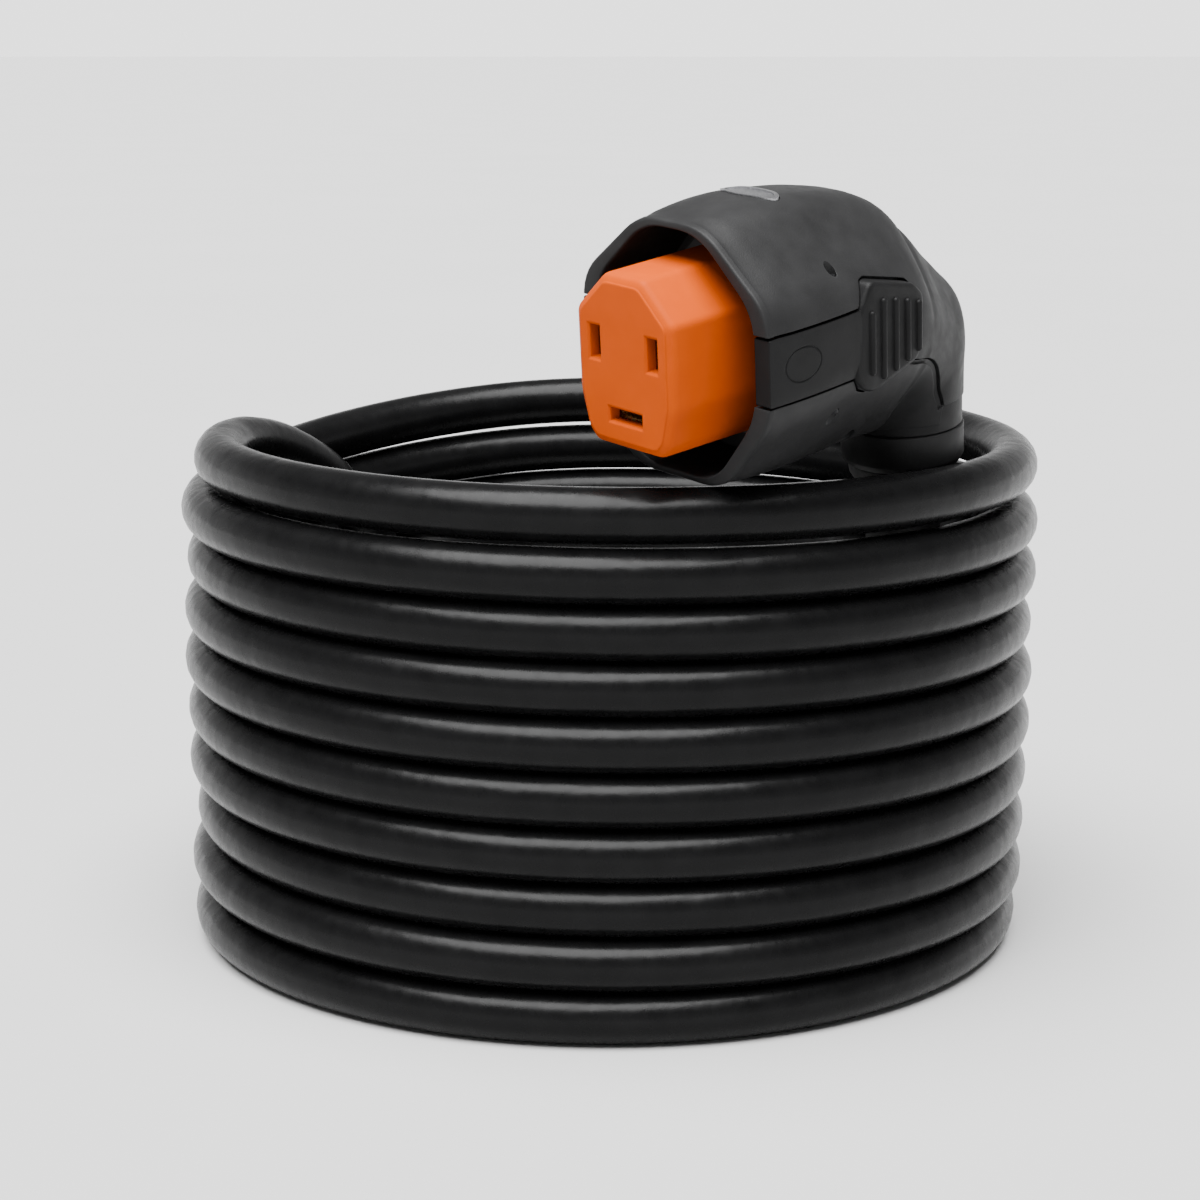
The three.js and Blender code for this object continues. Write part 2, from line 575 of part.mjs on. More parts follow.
blades.forEach(([name, angle]) => {
  add(plug, `plug_blade_${name}`, blade(angle, 0, faceLow), finish(BRASS, 0.3, 1));
});
add(plug, 'plug_ground_pin', turned([
  [0, faceLow], [EARTH.r, faceLow], [EARTH.r, PLUG.length + 19], [1.2, PLUG.length + 21],
  [0, PLUG.length + 21],
], EARTH.x, 0, 16), finish(BRASS, 0.3, 1));

// The row's origin is under the middle of the whole object, on the floor.
object.updateMatrixWorld(true);
const extent = new THREE.Box3().setFromObject(object, true);
object.position.set(-(extent.min.x + extent.max.x) / 2, -(extent.min.y + extent.max.y) / 2, 0);

export default object;
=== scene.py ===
"""Thirty-amp shore power cord wound into an upright coil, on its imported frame. Metres, +Z up."""
import json
import math

import bmesh
import bpy
import numpy as np
from mathutils import Matrix, Vector


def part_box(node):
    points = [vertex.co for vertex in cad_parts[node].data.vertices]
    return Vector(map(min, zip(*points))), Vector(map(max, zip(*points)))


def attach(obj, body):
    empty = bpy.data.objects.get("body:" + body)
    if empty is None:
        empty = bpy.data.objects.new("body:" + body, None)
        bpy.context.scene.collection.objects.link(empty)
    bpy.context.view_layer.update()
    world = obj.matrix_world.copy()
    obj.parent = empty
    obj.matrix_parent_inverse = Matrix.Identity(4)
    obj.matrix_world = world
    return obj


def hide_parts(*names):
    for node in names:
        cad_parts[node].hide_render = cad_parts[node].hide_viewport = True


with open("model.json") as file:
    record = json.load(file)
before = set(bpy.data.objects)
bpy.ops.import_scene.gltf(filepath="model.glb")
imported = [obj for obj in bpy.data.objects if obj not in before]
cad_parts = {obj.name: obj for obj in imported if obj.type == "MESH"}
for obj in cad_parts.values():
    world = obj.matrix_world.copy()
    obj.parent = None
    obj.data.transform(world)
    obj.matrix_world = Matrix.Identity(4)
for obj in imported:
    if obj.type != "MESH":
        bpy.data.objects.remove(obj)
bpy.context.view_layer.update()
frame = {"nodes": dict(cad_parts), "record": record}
MM = 0.001

# ------------------------------------------------------------------ sizes shared with the CAD
CORD_D = 0.017
COIL_R = 0.1347
COIL_LOW, COIL_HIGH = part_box("cord_coil")
AXIS = (COIL_LOW + COIL_HIGH) / 2
AXIS.z = 0.0

CONNECTOR_AT = (3.4, -142.9, 206.9)
CONNECTOR_YAW, CONNECTOR_PITCH, CONNECTOR_ROLL = 48.4, 8.7, 5.9
HOOD_Y = 20.0
HOOD_W = 38.8
WALL = 3.4
RIM_WALL = 2.2
SIDE_WALL = 6.2
BULKHEAD = 48.0
NECK_Y = 118.0
ELBOW_Y, ELBOW_Z = 92.0, -50.0
NECK_TOP = -35.4
RING_R = 19.0
PIN_X, PIN_Y = 30.5, 54.0
PLUG_AT = (-39.0, -50.0, 11.8)
PLUG_TILT = 9.6

CONNECTOR = (
    Matrix.Translation(AXIS + Vector(CONNECTOR_AT) * MM)
    @ Matrix.Rotation(math.radians(-CONNECTOR_YAW), 4, "Z")
    @ Matrix.Rotation(math.radians(CONNECTOR_PITCH), 4, "X")
    @ Matrix.Rotation(math.radians(CONNECTOR_ROLL), 4, "Y")
    @ Matrix.Scale(MM, 4)
)
PLUG = (
    Matrix.Translation(AXIS + Vector(PLUG_AT) * MM)
    @ Matrix.Rotation(math.radians(90 - PLUG_TILT), 4, "Y")
    @ Matrix.Scale(MM, 4)
)

# ------------------------------------------------------------------ camera
CAMERA_FROM_AXIS = Vector((-0.00315, -0.945, 0.2979))
LOOK_DOWN = 11.2

camera = bpy.data.objects.new("camera", bpy.data.cameras.new("camera"))
bpy.context.scene.collection.objects.link(camera)
camera.data.sensor_width = 36.0
camera.data.lens = 84.48
camera.data.clip_end = 200.0
camera.location = AXIS + CAMERA_FROM_AXIS
camera.rotation_euler = (math.radians(90 - LOOK_DOWN), 0.0, 0.0)
bpy.context.scene.camera = camera


# ------------------------------------------------------------------ mesh helpers
def new_object(name, vertices, faces, matrix=Matrix.Identity(4)):
    """A mesh object whose vertices are moved into the row frame and whose faces point outwards."""
    mesh = bpy.data.meshes.new(name)
    mesh.from_pydata([matrix @ Vector(v) for v in vertices], [], faces)
    mesh.validate()
    obj = bpy.data.objects.new(name, mesh)
    bpy.context.scene.collection.objects.link(obj)
    bm = bmesh.new()
    bm.from_mesh(mesh)
    bmesh.ops.recalc_face_normals(bm, faces=bm.faces)
    bm.to_mesh(mesh)
    bm.free()
    return obj


def skin(name, sections, closed=False, matrix=CONNECTOR):
    """A skin over a row of closed sections. Open rows get end caps; closed ones join up."""
    count = len(sections[0])
    vertices = [p for section in sections for p in section]
    faces = []
    rows = len(sections)
    for i in range(rows if closed else rows - 1):
        for j in range(count):
            k = (j + 1) % count
            a, b = i * count, ((i + 1) % rows) * count
            faces.append((a + j, a + k, b + k, b + j))
    if not closed:
        faces.append(tuple(range(count)))
        faces.append(tuple(range((rows - 1) * count, rows * count)))
    return new_object(name, vertices, faces, matrix)


def lathe(name, profile, x=0.0, y=0.0, segments=96, closed=False, matrix=CONNECTOR):
    """A body of revolution round a line along Z; profile is (radius, z) points."""
    rings = []
    for r, z in profile:
        rings.append([
            (x + r * math.cos(2 * math.pi * k / segments), y + r * math.sin(2 * math.pi * k / segments), z)
            for k in range(segments)
        ])
    return skin(name, rings, closed, matrix)


def prism(name, shape, low, high, axis="x"):
    """A flat shape swept along x (its points are y, z) or along y (its points are x, z)."""
    def at(a, b, depth):
        return (depth, a, b) if axis == "x" else (a, depth, b)
    return skin(name, [[at(a, b, depth) for a, b in shape] for depth in (low, high)])


def box_mesh(name, low, high):
    """A box between two corners."""
    (x0, y0, z0), (x1, y1, z1) = low, high
    return prism(name, [(y0, z0), (y1, z0), (y1, z1), (y0, z1)], x0, x1)


def evaluated(obj):
    """Applies every modifier of obj to its mesh."""
    graph = bpy.context.evaluated_depsgraph_get()
    mesh = bpy.data.meshes.new_from_object(obj.evaluated_get(graph))
    obj.modifiers.clear()
    old = obj.data
    obj.data = mesh
    bpy.data.meshes.remove(old)
    return obj


def combine(obj, tools, operation="DIFFERENCE"):
    """Joins, cuts or intersects obj with each tool in turn, and removes the tool."""
    for tool in tools:
        modifier = obj.modifiers.new("boolean", "BOOLEAN")
        modifier.operation = operation
        modifier.solver = "MANIFOLD"
        modifier.object = tool
        evaluated(obj)
        bpy.data.objects.remove(tool)
    return obj


def copy_of(obj, name):
    """A second object with a mesh of its own."""
    twin = obj.copy()
    twin.data = obj.data.copy()
    twin.name = name
    bpy.context.scene.collection.objects.link(twin)
    return twin


def smooth(obj, degrees=32.0):
    """Smooth shading except across edges sharper than this."""
    obj.data.shade_smooth()
    obj.data.set_sharp_from_angle(angle=math.radians(degrees))
    return obj


def piece(obj, material, body="cord", nodes=()):
    """Dresses a finished piece, seats it on its body and hides the CAD nodes it stands for."""
    obj.data.materials.clear()
    obj.data.materials.append(material)
    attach(obj, body)
    if nodes:
        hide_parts(*nodes)
    return obj


def spline(points, step):
    """Centripetal Catmull-Rom through the points, step samples per span."""
    pts = [Vector(p) for p in points]
    out = []
    for i in range(len(pts) - 1):
        p1, p2 = pts[i], pts[i + 1]
        p0 = pts[i - 1] if i else 2 * p1 - p2
        p3 = pts[i + 2] if i + 2 < len(pts) else 2 * p2 - p1
        d0, d1, d2 = ((p1 - p0).length ** 0.5, (p2 - p1).length ** 0.5, (p3 - p2).length ** 0.5)
        m1 = ((p1 - p0) / d0 - (p2 - p0) / (d0 + d1) + (p2 - p1) / d1) * d1
        m2 = ((p2 - p1) / d1 - (p3 - p1) / (d1 + d2) + (p3 - p2) / d2) * d1
        for k in range(step):
            t = k / step
            out.append(
                p1 + m1 * t + (3 * (p2 - p1) - 2 * m1 - m2) * t * t + (2 * (p1 - p2) + m1 + m2) * t ** 3
            )
    out.append(pts[-1])
    return out


def evenly(points, spacing):
    """The same line with its points this far apart."""
    pts = np.array([tuple(p) for p in points])
    run = np.concatenate([[0.0], np.cumsum(np.linalg.norm(np.diff(pts, axis=0), axis=1))])
    count = max(2, int(round(run[-1] / spacing)) + 1)
    at = np.linspace(0, run[-1], count)
    return np.stack([np.interp(at, run, pts[:, k]) for k in range(3)], axis=1), run[-1]


def ease(t):
    """A smooth step from 0 to 1."""
    t = min(max(t, 0.0), 1.0)
    return t * t * t * (10 - 15 * t + 6 * t * t)


def bend(start, corner, end, t):
    """A point on the curve that rounds a corner from start to end."""
    return tuple((1 - t) ** 2 * a + 2 * t * (1 - t) * c + t * t * b for a, c, b in zip(start, corner, end))


def towards(corner, other, reach):
    """The point this far from a corner along the edge to another, at most 0.4 of the edge."""
    length = math.hypot(other[0] - corner[0], other[1] - corner[1])
    share = min(reach, 0.4 * length) / length
    return tuple(c + (o - c) * share for c, o in zip(corner, other))


def soften(corners, reach, count):
    """An outline with its corners rounded, count points to a corner."""
    out = []
    for i, corner in enumerate(corners):
        start = towards(corner, corners[i - 1], reach)
        end = towards(corner, corners[(i + 1) % len(corners)], reach)
        out += [bend(start, corner, end, k / (count - 1)) for k in range(count)]
    return out


# ------------------------------------------------------------------ materials
def shader(name, base, roughness, metallic=0.0, specular=0.5):
    """A new material with its Principled shader's fixed values set on the sockets."""
    material = bpy.data.materials.new(name)
    material.use_nodes = True
    tree = material.node_tree
    bsdf = tree.nodes["Principled BSDF"]
    bsdf.inputs["Base Color"].default_value = (*base, 1.0)
    bsdf.inputs["Roughness"].default_value = roughness
    bsdf.inputs["Metallic"].default_value = metallic
    bsdf.inputs["Specular IOR Level"].default_value = specular
    return material, tree, bsdf


def noise(tree, scale, detail=3.0, stretch=(1.0, 1.0, 1.0)):
    """Noise in the object's own metres."""
    where = tree.nodes.new("ShaderNodeTexCoord")
    mapping = tree.nodes.new("ShaderNodeMapping")
    mapping.inputs["Scale"].default_value = stretch
    texture = tree.nodes.new("ShaderNodeTexNoise")
    texture.inputs["Scale"].default_value = scale
    texture.inputs["Detail"].default_value = detail
    tree.links.new(where.outputs["Object"], mapping.inputs["Vector"])
    tree.links.new(mapping.outputs["Vector"], texture.inputs["Vector"])
    return texture.outputs["Fac"]


def spread(tree, value, low, high, start=0.3, stop=0.7):
    """Maps noise onto a range of numbers."""
    node = tree.nodes.new("ShaderNodeMapRange")
    node.inputs["From Min"].default_value = start
    node.inputs["From Max"].default_value = stop
    node.inputs["To Min"].default_value = low
    node.inputs["To Max"].default_value = high
    tree.links.new(value, node.inputs["Value"])
    return node.outputs["Result"]


def tint(tree, value, first, second, start=0.3, stop=0.7):
    """Maps noise onto a run from one colour to another."""
    ramp = tree.nodes.new("ShaderNodeValToRGB")
    ramp.color_ramp.elements[0].position = start
    ramp.color_ramp.elements[0].color = (*first, 1.0)
    ramp.color_ramp.elements[1].position = stop
    ramp.color_ramp.elements[1].color = (*second, 1.0)
    tree.links.new(value, ramp.inputs["Fac"])
    return ramp.outputs["Color"]


def bump(tree, bsdf, value, distance, rounded=0.0, waves=0.0):
    """Raises the surface by the value; rounded softens edges by that radius, waves is a slow unevenness."""
    node = tree.nodes.new("ShaderNodeBump")
    node.inputs["Distance"].default_value = distance
    tree.links.new(value, node.inputs["Height"])
    last = node
    if waves:
        wide = tree.nodes.new("ShaderNodeBump")
        wide.inputs["Distance"].default_value = waves
        tree.links.new(noise(tree, 70.0, 2.0), wide.inputs["Height"])
        tree.links.new(wide.outputs["Normal"], last.inputs["Normal"])
        last = wide
    if rounded:
        edge = tree.nodes.new("ShaderNodeBevel")
        edge.samples = 6
        edge.inputs["Radius"].default_value = rounded
        tree.links.new(edge.outputs["Normal"], last.inputs["Normal"])
    tree.links.new(node.outputs["Normal"], bsdf.inputs["Normal"])


def plastic(name, dark, light, rough, grain, rounded=0.0, spec=0.5, waves=0.0):
    """Moulded plastic: fine grain, slight mottling and uneven gloss."""
    material, tree, bsdf = shader(name, dark, sum(rough) / 2, specular=spec)
    tree.links.new(tint(tree, noise(tree, 90.0), dark, light), bsdf.inputs["Base Color"])
    tree.links.new(spread(tree, noise(tree, 260.0, 4.0), *rough), bsdf.inputs["Roughness"])
    bump(tree, bsdf, noise(tree, 2600.0, 2.0), grain, rounded, waves)
    return material


def metal(name, dark, light, rough, stretch=(1.0, 1.0, 1.0)):
    """Bare or plated metal with fine directional marks."""
    material, tree, bsdf = shader(name, dark, sum(rough) / 2, metallic=1.0)
    tree.links.new(tint(tree, noise(tree, 300.0, 4.0, stretch), dark, light), bsdf.inputs["Base Color"])
    tree.links.new(spread(tree, noise(tree, 900.0, 3.0, stretch), *rough), bsdf.inputs["Roughness"])
    bump(tree, bsdf, noise(tree, 2500.0, 2.0, stretch), 0.00002)
    return material


SHELL = plastic(
    "shell_plastic", (0.0100, 0.0100, 0.0102), (0.0140, 0.0140, 0.0143), (0.42, 0.52), 0.00006,
    rounded=0.0004, spec=0.09, waves=0.00015,
)
LEVER = plastic(
    "lever_plastic", (0.0042, 0.0042, 0.0043), (0.0058, 0.0058, 0.0060), (0.40, 0.50), 0.00006,
    rounded=0.0004, spec=0.08,
)
ORANGE = plastic(
    "orange_plastic", (0.32, 0.040, 0.0), (0.35, 0.045, 0.0), (0.42, 0.52), 0.00002,
    rounded=0.0006, spec=0.03,
)
CORD = plastic(
    "cord_jacket", (0.0020, 0.0020, 0.0021), (0.0032, 0.0032, 0.0033), (0.24, 0.32), 0.00002,
    spec=0.09, waves=0.0004,
)
RUBBER = plastic("seal_rubber", (0.009, 0.009, 0.009), (0.014, 0.014, 0.014), (0.62, 0.75), 0.00006)
DARK = plastic("dark_plastic", (0.020, 0.020, 0.021), (0.028, 0.028, 0.029), (0.50, 0.60), 0.00004)
STEEL = metal("plated_steel", (0.52, 0.53, 0.55), (0.66, 0.67, 0.69), (0.28, 0.42))
BLACK_STEEL = metal("blackened_steel", (0.010, 0.010, 0.011), (0.020, 0.020, 0.021), (0.45, 0.60))
BRASS = metal("brass", (0.68, 0.46, 0.16), (0.78, 0.56, 0.22), (0.22, 0.36))
SILVER = metal("badge_silver", (0.26, 0.26, 0.27), (0.36, 0.36, 0.37), (0.30, 0.40), (6.0, 1.0, 1.0))
WIRE_BLACK = plastic("wire_black", (0.012, 0.012, 0.012), (0.02, 0.02, 0.02), (0.3, 0.4), 0.00001)
WIRE_WHITE = plastic("wire_white", (0.78, 0.76, 0.70), (0.85, 0.83, 0.78), (0.3, 0.4), 0.00001)
WIRE_GREEN = plastic("wire_green", (0.012, 0.20, 0.05), (0.02, 0.27, 0.07), (0.3, 0.4), 0.00001)

SLOT_MATERIAL = {
    "shell": SHELL, "lever": LEVER, "badge": SILVER, "steel": STEEL, "orange_face": ORANGE,
    "brass": BRASS, "rubber": RUBBER, "clamp": DARK, "cord": CORD, "plug": SHELL,
    "plug_face": DARK, "wire_black": WIRE_BLACK, "wire_white": WIRE_WHITE, "wire_green": WIRE_GREEN,
}
for entry in frame["record"]["subparts"]:
    node = frame["nodes"][entry["node"]]
    node.data.materials.clear()
    node.data.materials.append(SLOT_MATERIAL[entry["material_slot"]])

# ------------------------------------------------------------------ cord
# Heights of the ten turns at the left, right and back of the coil, top first, and how far each
# turn stands out from the coil's radius at the left and right. All in mm.
LEFT_Z = [163.6, 147.0, 130.2, 113.2, 96.2, 79.2, 62.0, 44.8, 27.4, 8.6]
RIGHT_Z = [160.8, 142.2, 125.0, 108.0, 91.0, 74.0, 57.2, 40.4, 23.8, 8.6]
BACK_Z = [163.0, 144.9, 127.6, 110.9, 93.9, 76.9, 59.9, 42.9, 25.9, 8.6]
LEFT_OUT = [-4.3, 0.7, -0.9, 0.4, 0.7, 0.0, 0.0, -2.2, 0.0, -0.6]
RIGHT_OUT = [0.3, 0.8, 0.8, -0.4, 0.3, 0.0, -0.8, -1.2, -1.6, -3.4]
FLOOR_Z = 8.6
TURNS = 9.9
SAMPLES_PER_TURN = 24
# How much of the turns' standing out at the sides is left at the front and at the back.
FRONT_SHARE, BACK_SHARE = 0.4, 0.3
# Over the last part of the bottom turn the cord comes in to this radius, where the tail starts.
INWARD_FROM, INWARD_OVER = 9.62, 0.3
INNER_R = 116.8
ROUTE_STEPS, ROUTE_SPACING = 12, 0.004


def gentle(before, after):
    """A slope between two steps that never overshoots."""
    return 2 * before * after / (before + after) if before * after > 0 else 0.0


def turn_values(turn):
    """Height and radius, in mm, of the helix this many turns from its start at the left."""
    quarters = []
    for k in range(len(LEFT_Z)):
        front = 0.5 * (LEFT_Z[k] + RIGHT_Z[k])
        quarters += [
            (LEFT_Z[k], LEFT_OUT[k]), (front, FRONT_SHARE * (LEFT_OUT[k] + RIGHT_OUT[k])),
            (RIGHT_Z[k], RIGHT_OUT[k]), (BACK_Z[k], BACK_SHARE * RIGHT_OUT[k]),
        ]
    quarters.append((FLOOR_Z, 0.0))
    at = min(turn * 4, len(quarters) - 1.001)
    i = int(at)
    t = at - i
    p = [quarters[min(max(i + d, 0), len(quarters) - 1)] for d in (-1, 0, 1, 2)]
    values = []
    for a, b, c, d in zip(*p):
        m1, m2 = gentle(b - a, c - b), gentle(c - b, d - c)
        values.append(b + m1 * t + (3 * (c - b) - 2 * m1 - m2) * t * t + (2 * (b - c) + m1 + m2) * t ** 3)
    return values[0], COIL_R / MM + values[1]


# From the boot down to the floor, round it and up the inner side of the turns to the top one.
RUN = [
    (94.9, -48.4, 130.0), (95.6, -45.4, 113.4), (96.4, -41.8, 94), (96.8, -36.4, 74), (96.4, -27.4, 54),
    (94.6, -13.4, 34.8), (90.8, 7.4, 18.9), (83.6, 33, 10.2), (71, 60.4, 8.8), (50.4, 83.6, 9.6),
    (24.4, 98.6, 14.4), (-4, 105.6, 25.6), (-31.6, 104.7, 44.3), (-56, 96.4, 69), (-77.5, 82, 98),
    (-89.7, 68.8, 126.5), (-101.8, 54.1, 146.1), (-114.2, 37.2, 157.7), (-123.7, 18.2, 163.1),
    (-128.9, -3.6, 164.4), (-127.0, -33.6, 163.7),
]
# From the bottom turn across the floor to the plug.
TAIL = [
    (-107.0, 44.7, 8.8), (-110.8, 23.3, 8.7), (-108.5, 3.5, 8.7), (-101.2, -14.2, 8.7),
    (-90.3, -28.5, 8.8), (-76.4, -39.5, 9.0), (-60.6, -46.8, 9.4), (-46.2, -49.7, 10.6), (-40.2, -50, 11.6),
]
coil_points = []
steps = int(round(SAMPLES_PER_TURN * TURNS))
for step in range(2, steps + 1):
    turn = TURNS * step / steps
    height, radius = turn_values(turn)
    radius += (INNER_R - radius) * ease((turn - INWARD_FROM) / INWARD_OVER)
    angle = math.pi + 2 * math.pi * turn
    coil_points.append((radius * math.cos(angle), radius * math.sin(angle), height))
route = [AXIS + Vector(p) * MM for p in RUN + coil_points + TAIL]
centreline, cord_length = evenly(spline(route, ROUTE_STEPS), ROUTE_SPACING)

curve = bpy.data.curves.new("power_cord", "CURVE")
curve.dimensions = "3D"
curve.bevel_depth = CORD_D / 2
curve.bevel_resolution = 8
curve.use_fill_caps = True
line = curve.splines.new("POLY")
line.points.add(len(centreline) - 1)
for point, place in zip(line.points, centreline):
    point.co = (*place, 1.0)
power_cord = bpy.data.objects.new("power_cord", curve)
bpy.context.scene.collection.objects.link(power_cord)
piece(power_cord, CORD, "cord", ["cord_coil", "cord_run", "cord_tail"])


# ------------------------------------------------------------------ connector body
# Each station: path position, half width, low and high edge measured from the elbow's centre,
# roundness, height of the shoulder as a share of the half height, taper towards the neck.
BODY = [
    (20.0, 38.8, 11.5, 88.5, 0.0, 0.45, 0.0), (30.0, 39.0, 10.6, 90.2, 0.0, 0.43, 0.0),
    (44.0, 38.6, 10.2, 91.3, 0.0, 0.39, 0.0), (60.0, 37.4, 10.4, 90.3, 0.0, 0.33, 0.0),
    (76.0, 35.4, 10.6, 88.0, 0.1, 0.28, 0.0), (92.0, 32.6, 8.6, 83.4, 0.25, 0.28, 0.2),
    (98.5, 31.2, 8.3, 78.6, 0.3, 0.28, 0.4), (101.5, 30.5, 8.1, 74.7, 0.33, 0.28, 0.5),
    (103.2, 30.1, 8.1, 74.3, 0.34, 0.28, 0.55), (107.5, 29.1, 7.9, 71.6, 0.38, 0.28, 0.72),
    (113.0, 27.9, 7.7, 68.2, 0.4, 0.28, 0.9), (124.6, 25.5, 7.4, 64.6, 0.5, 0.28, 1.0),
    (136.0, 23.5, 7.1, 63.0, 0.65, 0.28, 1.0), (138.6, 23.1, 7.1, 61.6, 0.7, 0.28, 1.0),
    (149.8, 21.7, 7.0, 53.4, 0.85, 0.28, 1.0), (163.4, 20.4, 6.8, 48.0, 1.0, 0.28, 1.0),
    (186.5, 19.4, 6.6, 44.8, 1.0, 0.28, 1.0),
]
# From here on the path tilts down round the elbow, by a degree for each 1.05 mm of it.
ELBOW_START = 92.0
MM_PER_DEGREE = 1.05
PATH_END = BODY[-1][0]
NECK_HALF = 19.4
CORNER_REACH = 8.0
CORNER_POINTS = 7
EDGE_POINTS = 4


def body_at(p):
    """A station's values at any place along the body, smoothly between the stations."""
    i = 0
    while i + 2 < len(BODY) and BODY[i + 1][0] < p:
        i += 1
    a, b = BODY[i], BODY[i + 1]
    before = BODY[i - 1] if i else None
    after = BODY[i + 2] if i + 2 < len(BODY) else None
    span = b[0] - a[0]
    t = (p - a[0]) / span
    out = []
    for k in range(1, len(a)):
        slope = (b[k] - a[k]) / span
        m1 = 0.5 * (slope + (a[k] - before[k]) / (a[0] - before[0])) if before else slope
        m2 = 0.5 * (slope + (after[k] - b[k]) / (after[0] - b[0])) if after else slope
        m1, m2, d = m1 * span, m2 * span, b[k] - a[k]
        out.append(a[k] + m1 * t + (3 * d - 2 * m1 - m2) * t * t + (m1 + m2 - 2 * d) * t ** 3)
    return out


def outline(half, low, high, roundness, shoulder, taper, neck):
    """An octagon with rounded corners, turning into an oval as roundness goes to 1."""
    middle, reach = (low + high) / 2, (high - low) / 2
    above, below = middle + shoulder * reach, middle - 0.85 * shoulder * reach
    corners = [
        (0.34 * half, high), (half, above), (half, below), (0.47 * half, low),
        (-0.47 * half, low), (-half, below), (-half, above), (-0.34 * half, high),
    ]
    points = []
    for i, corner in enumerate(corners):
        following = corners[(i + 1) % len(corners)]
        start = towards(corner, corners[i - 1], CORNER_REACH)
        end = towards(corner, following, CORNER_REACH)
        points += [bend(start, corner, end, k / (CORNER_POINTS - 1)) for k in range(CORNER_POINTS)]
        edge_x, edge_z = (b - a for a, b in zip(end, towards(following, corner, CORNER_REACH)))
        for k in range(1, EDGE_POINTS):
            t = k / EDGE_POINTS
            points.append((end[0] + edge_x * t, end[1] + edge_z * t))
    rounded = []
    for x, z in points:
        angle = math.atan2((z - middle) / reach, x / half)
        ox, oz = half * math.cos(angle), middle + reach * math.sin(angle)
        x, z = x + (ox - x) * roundness, z + (oz - z) * roundness
        rise = ease((z - low) / (1.1 * reach))
        rounded.append((x * (1 - taper * (1 - min(1.0, neck / half)) * (1 - rise)), z))
    return rounded


def body_section(p, grow=0.0, low_in=0.0, side_in=0.0, half_limit=99.0):
    """The body's section at a place along its path, grown or shrunk, in connector space."""
    half, low, high, roundness, shoulder, taper = body_at(p)
    half = min(half_limit, half + grow - side_in)
    neck = NECK_HALF + grow - side_in
    points = outline(half, low - grow + low_in, high + grow - low_in, roundness, shoulder, taper, neck)
    if p <= ELBOW_START:
        return [(x, p, s + ELBOW_Z) for x, s in points]
    tilt = math.radians((p - ELBOW_START) / MM_PER_DEGREE)
    return [(x, ELBOW_Y + s * math.sin(tilt), ELBOW_Z + s * math.cos(tilt)) for x, s in points]


def stations(start, stop, spacing=1.2):
    """Even places along the body's path, about this far apart."""
    count = max(2, int((stop - start) / spacing))
    return [start + (stop - start) * k / count for k in range(count + 1)]


def plain_body(name, grow, start=HOOD_Y, stop=PATH_END):
    """The body's outer shape as a solid, grown or shrunk."""
    return skin(name, [body_section(p, grow) for p in stations(start, stop)])


RIM_RADIUS = 0.8
RIM_STEPS = 6
RIM_DROP = 0.3
ROOM_START, ROOM_END, ROOM_HALF = 56.0, 144.0, 22.5


def shell_blank():
    """The whole shell as one solid: hood cavity, rounded rim and outer skin down to the neck."""
    sections = []
    for p in reversed(stations(HOOD_Y + RIM_RADIUS, BULKHEAD, 4.0)):
        trim = 0.8 * (p - HOOD_Y) / (BULKHEAD - HOOD_Y)
        sections.append(body_section(p, -trim, RIM_WALL, SIDE_WALL))
    for k in range(1, RIM_STEPS):
        a = math.pi / 2 * k / RIM_STEPS
        back = RIM_RADIUS * (1 - math.sin(a))
        out = RIM_RADIUS * (1 - math.cos(a))
        sections.append(body_section(HOOD_Y + back, out, RIM_WALL, SIDE_WALL))
    sections.append(body_section(HOOD_Y, RIM_RADIUS, RIM_WALL, SIDE_WALL))
    sections.append(body_section(HOOD_Y, -RIM_RADIUS))
    for k in range(RIM_STEPS - 1, -1, -1):
        a = math.pi / 2 * k / RIM_STEPS
        back = RIM_RADIUS * (1 - math.sin(a))
        inside = RIM_RADIUS * (1 - math.cos(a))
        sections.append(body_section(HOOD_Y + back, -inside))
    # A fine step runs round the hood just behind its rim.
    for p, drop in ((22.3, 0.0), (22.5, 0.25), (22.7, RIM_DROP)):
        sections.append(body_section(p, -drop))
    sections += [body_section(p, -RIM_DROP * (1 - ease((p - 23) / 8))) for p in stations(24.0, PATH_END)]
    return skin("shell_blank", sections)


def rear_room():
    """The hollow behind the bulkhead, as a solid to cut away."""
    rows = [body_section(p, 0.0, WALL, WALL, ROOM_HALF) for p in stations(ROOM_START, ROOM_END, 6.0)]
    return skin("rear_room", rows)


# The right half of the orange face's corners, and the way each one moves as the outline grows.
CARRIER_HALF = [
    (7.9, 26.4, 0.4, 1), (20.1, 14.8, 1, 0.4), (20.1, -10, 1, -0.2), (17, -21.5, 0.8, -0.6),
    (13.5, -25.2, 0.4, -1),
]
CARRIER_CORNER, CARRIER_ARC = 1.6, 5
CARRIER_GAP = 0.9
FLANGE_OUT = 4.2
FLANGE_FRONT, FLANGE_BACK = 48.8, 51.8


def carrier_outline(grow):
    """The house-shaped orange face's outline with each corner rounded."""
    right = [(x + grow * ax, z + grow * az) for x, z, ax, az in CARRIER_HALF]
    return soften(right + [(-x, z) for x, z in reversed(right)], CARRIER_CORNER, CARRIER_ARC)


def round_rod(name, radius, low, high, x, y, segments=32):
    """An upright rod."""
    return lathe(name, [(radius, low), (radius, high)], x, y, segments)


# The parting line seen from the side: everything below and ahead of it is the lower shell.
ARCH = [
    (88.4, -12.4), (91.5, -13.4), (97, -14.6), (101, -16.4), (104.8, -19.6), (108.2, -24.2),
    (111.0, -29.4), (112.8, -33.0), (113.6, NECK_TOP),
]
arch = [(p.y, p.z) for p in spline([(0.0, a, b) for a, b in ARCH], 6)]
PARTING = [(10.0, 0.0), (88.4, 0.0)] + arch
SEAM = 0.35
# Cutting tools start or end this far from the connector's axis, well outside the shell.
FAR = 60

